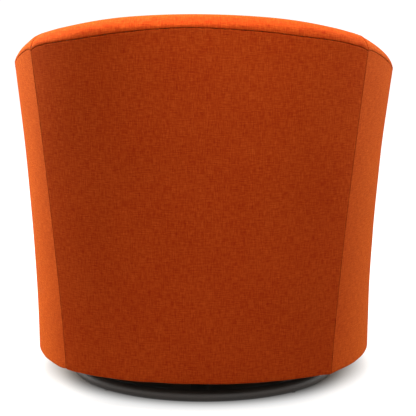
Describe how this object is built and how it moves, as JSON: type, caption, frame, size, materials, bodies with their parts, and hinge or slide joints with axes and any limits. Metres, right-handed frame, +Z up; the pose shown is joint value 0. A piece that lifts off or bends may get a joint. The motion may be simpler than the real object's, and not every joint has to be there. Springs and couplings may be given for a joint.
{
  "type": "swivel club chair",
  "caption": "Upholstered tub chair with a curved back, sloping arms and a loose seat cushion, turning on a low ring base.",
  "frame": {"origin": "on the floor, on the swivel axis, under the middle of the chair", "axes": "+Z up along the swivel axis; the sitter faces -Y, so +X is at the sitter's left"},
  "size_m": [0.796, 0.7578, 0.786],
  "materials": {
    "orange_weave": "matte",
    "foam": "matte",
    "plywood": "matte",
    "chipboard": "matte",
    "webbing": "matte",
    "felt": "matte",
    "black_cloth": "matte",
    "black_steel": "satin",
    "zinc_steel": "satin",
    "spring_wire": "satin",
    "nylon": "matte"
  },
  "bodies": {
    "base": {"base_ring": "black_steel", "base_cross": "black_steel", "lower_bearing_plate": "zinc_steel", "centre_rivet": "zinc_steel", "glide_1": "nylon", "glide_2": "nylon", "glide_3": "nylon", "glide_4": "nylon"},
    "bearing_cage": {"ball_cage": "zinc_steel"},
    "chair": {"arm_facing_left": "orange_weave", "arm_facing_right": "orange_weave", "arm_left_foam": "foam", "arm_right_foam": "foam", "arm_top_rail_left": "plywood", "arm_top_rail_right": "plywood", "back_foam": "foam", "back_top_rail": "plywood", "back_upright": "plywood", "back_webbing_1": "webbing", "back_webbing_2": "webbing", "base_rail_back": "plywood", "base_rail_front": "plywood", "base_rail_left": "plywood", "base_rail_right": "plywood", "deck_cloth": "black_cloth", "deck_felt": "felt", "deck_pad": "foam", "dust_cover": "black_cloth", "front_border_cover": "orange_weave", "front_border_pad": "foam", "front_post_left": "plywood", "front_post_right": "plywood", "inside_arm_left_cover": "orange_weave", "inside_arm_right_cover": "orange_weave", "inside_back_cover": "orange_weave", "outside_arm_left_liner": "chipboard", "outside_arm_left_panel": "orange_weave", "outside_arm_right_liner": "chipboard", "outside_arm_right_panel": "orange_weave", "outside_back_liner": "chipboard", "outside_back_panel": "orange_weave", "plate_bolt_1": "zinc_steel", "plate_bolt_2": "zinc_steel", "plate_bolt_3": "zinc_steel", "plate_bolt_4": "zinc_steel", "rear_post_left": "plywood", "rear_post_right": "plywood", "seat_rail_back": "plywood", "seat_rail_front": "plywood", "seat_rail_left": "plywood", "seat_rail_right": "plywood", "seat_spring_1": "spring_wire", "seat_spring_2": "spring_wire", "seat_spring_3": "spring_wire", "seat_spring_4": "spring_wire", "swivel_bearer_left": "plywood", "swivel_bearer_right": "plywood", "upper_bearing_plate": "zinc_steel"},
    "cushion": {"seat_cushion": "orange_weave"},
    "slider": {"zip_slider": "zinc_steel"}
  },
  "joints": [
    {"name": "seat_swivel", "type": "hinge", "parent": "base", "child": "chair", "pos_m": [0, 0, 0], "axis": [0, 0, 1], "continuous": true},
    {"name": "cage_spin", "type": "hinge", "parent": "base", "child": "bearing_cage", "pos_m": [0, 0, 0], "axis": [0, 0, 1], "continuous": true},
    {"name": "cushion_lift", "type": "slide", "parent": "chair", "child": "cushion", "axis": [0, 0, 1], "range_m": [0, 0.3]},
    {"name": "zip_slide", "type": "hinge", "parent": "cushion", "child": "slider", "pos_m": [0, -0.162, 0.3754], "axis": [0, 0, 1], "range_deg": [-22, 22]}
  ],
  "couplings": [
    {"joint": "cage_spin", "follows": "seat_swivel", "ratio": 0.5}
  ]
}
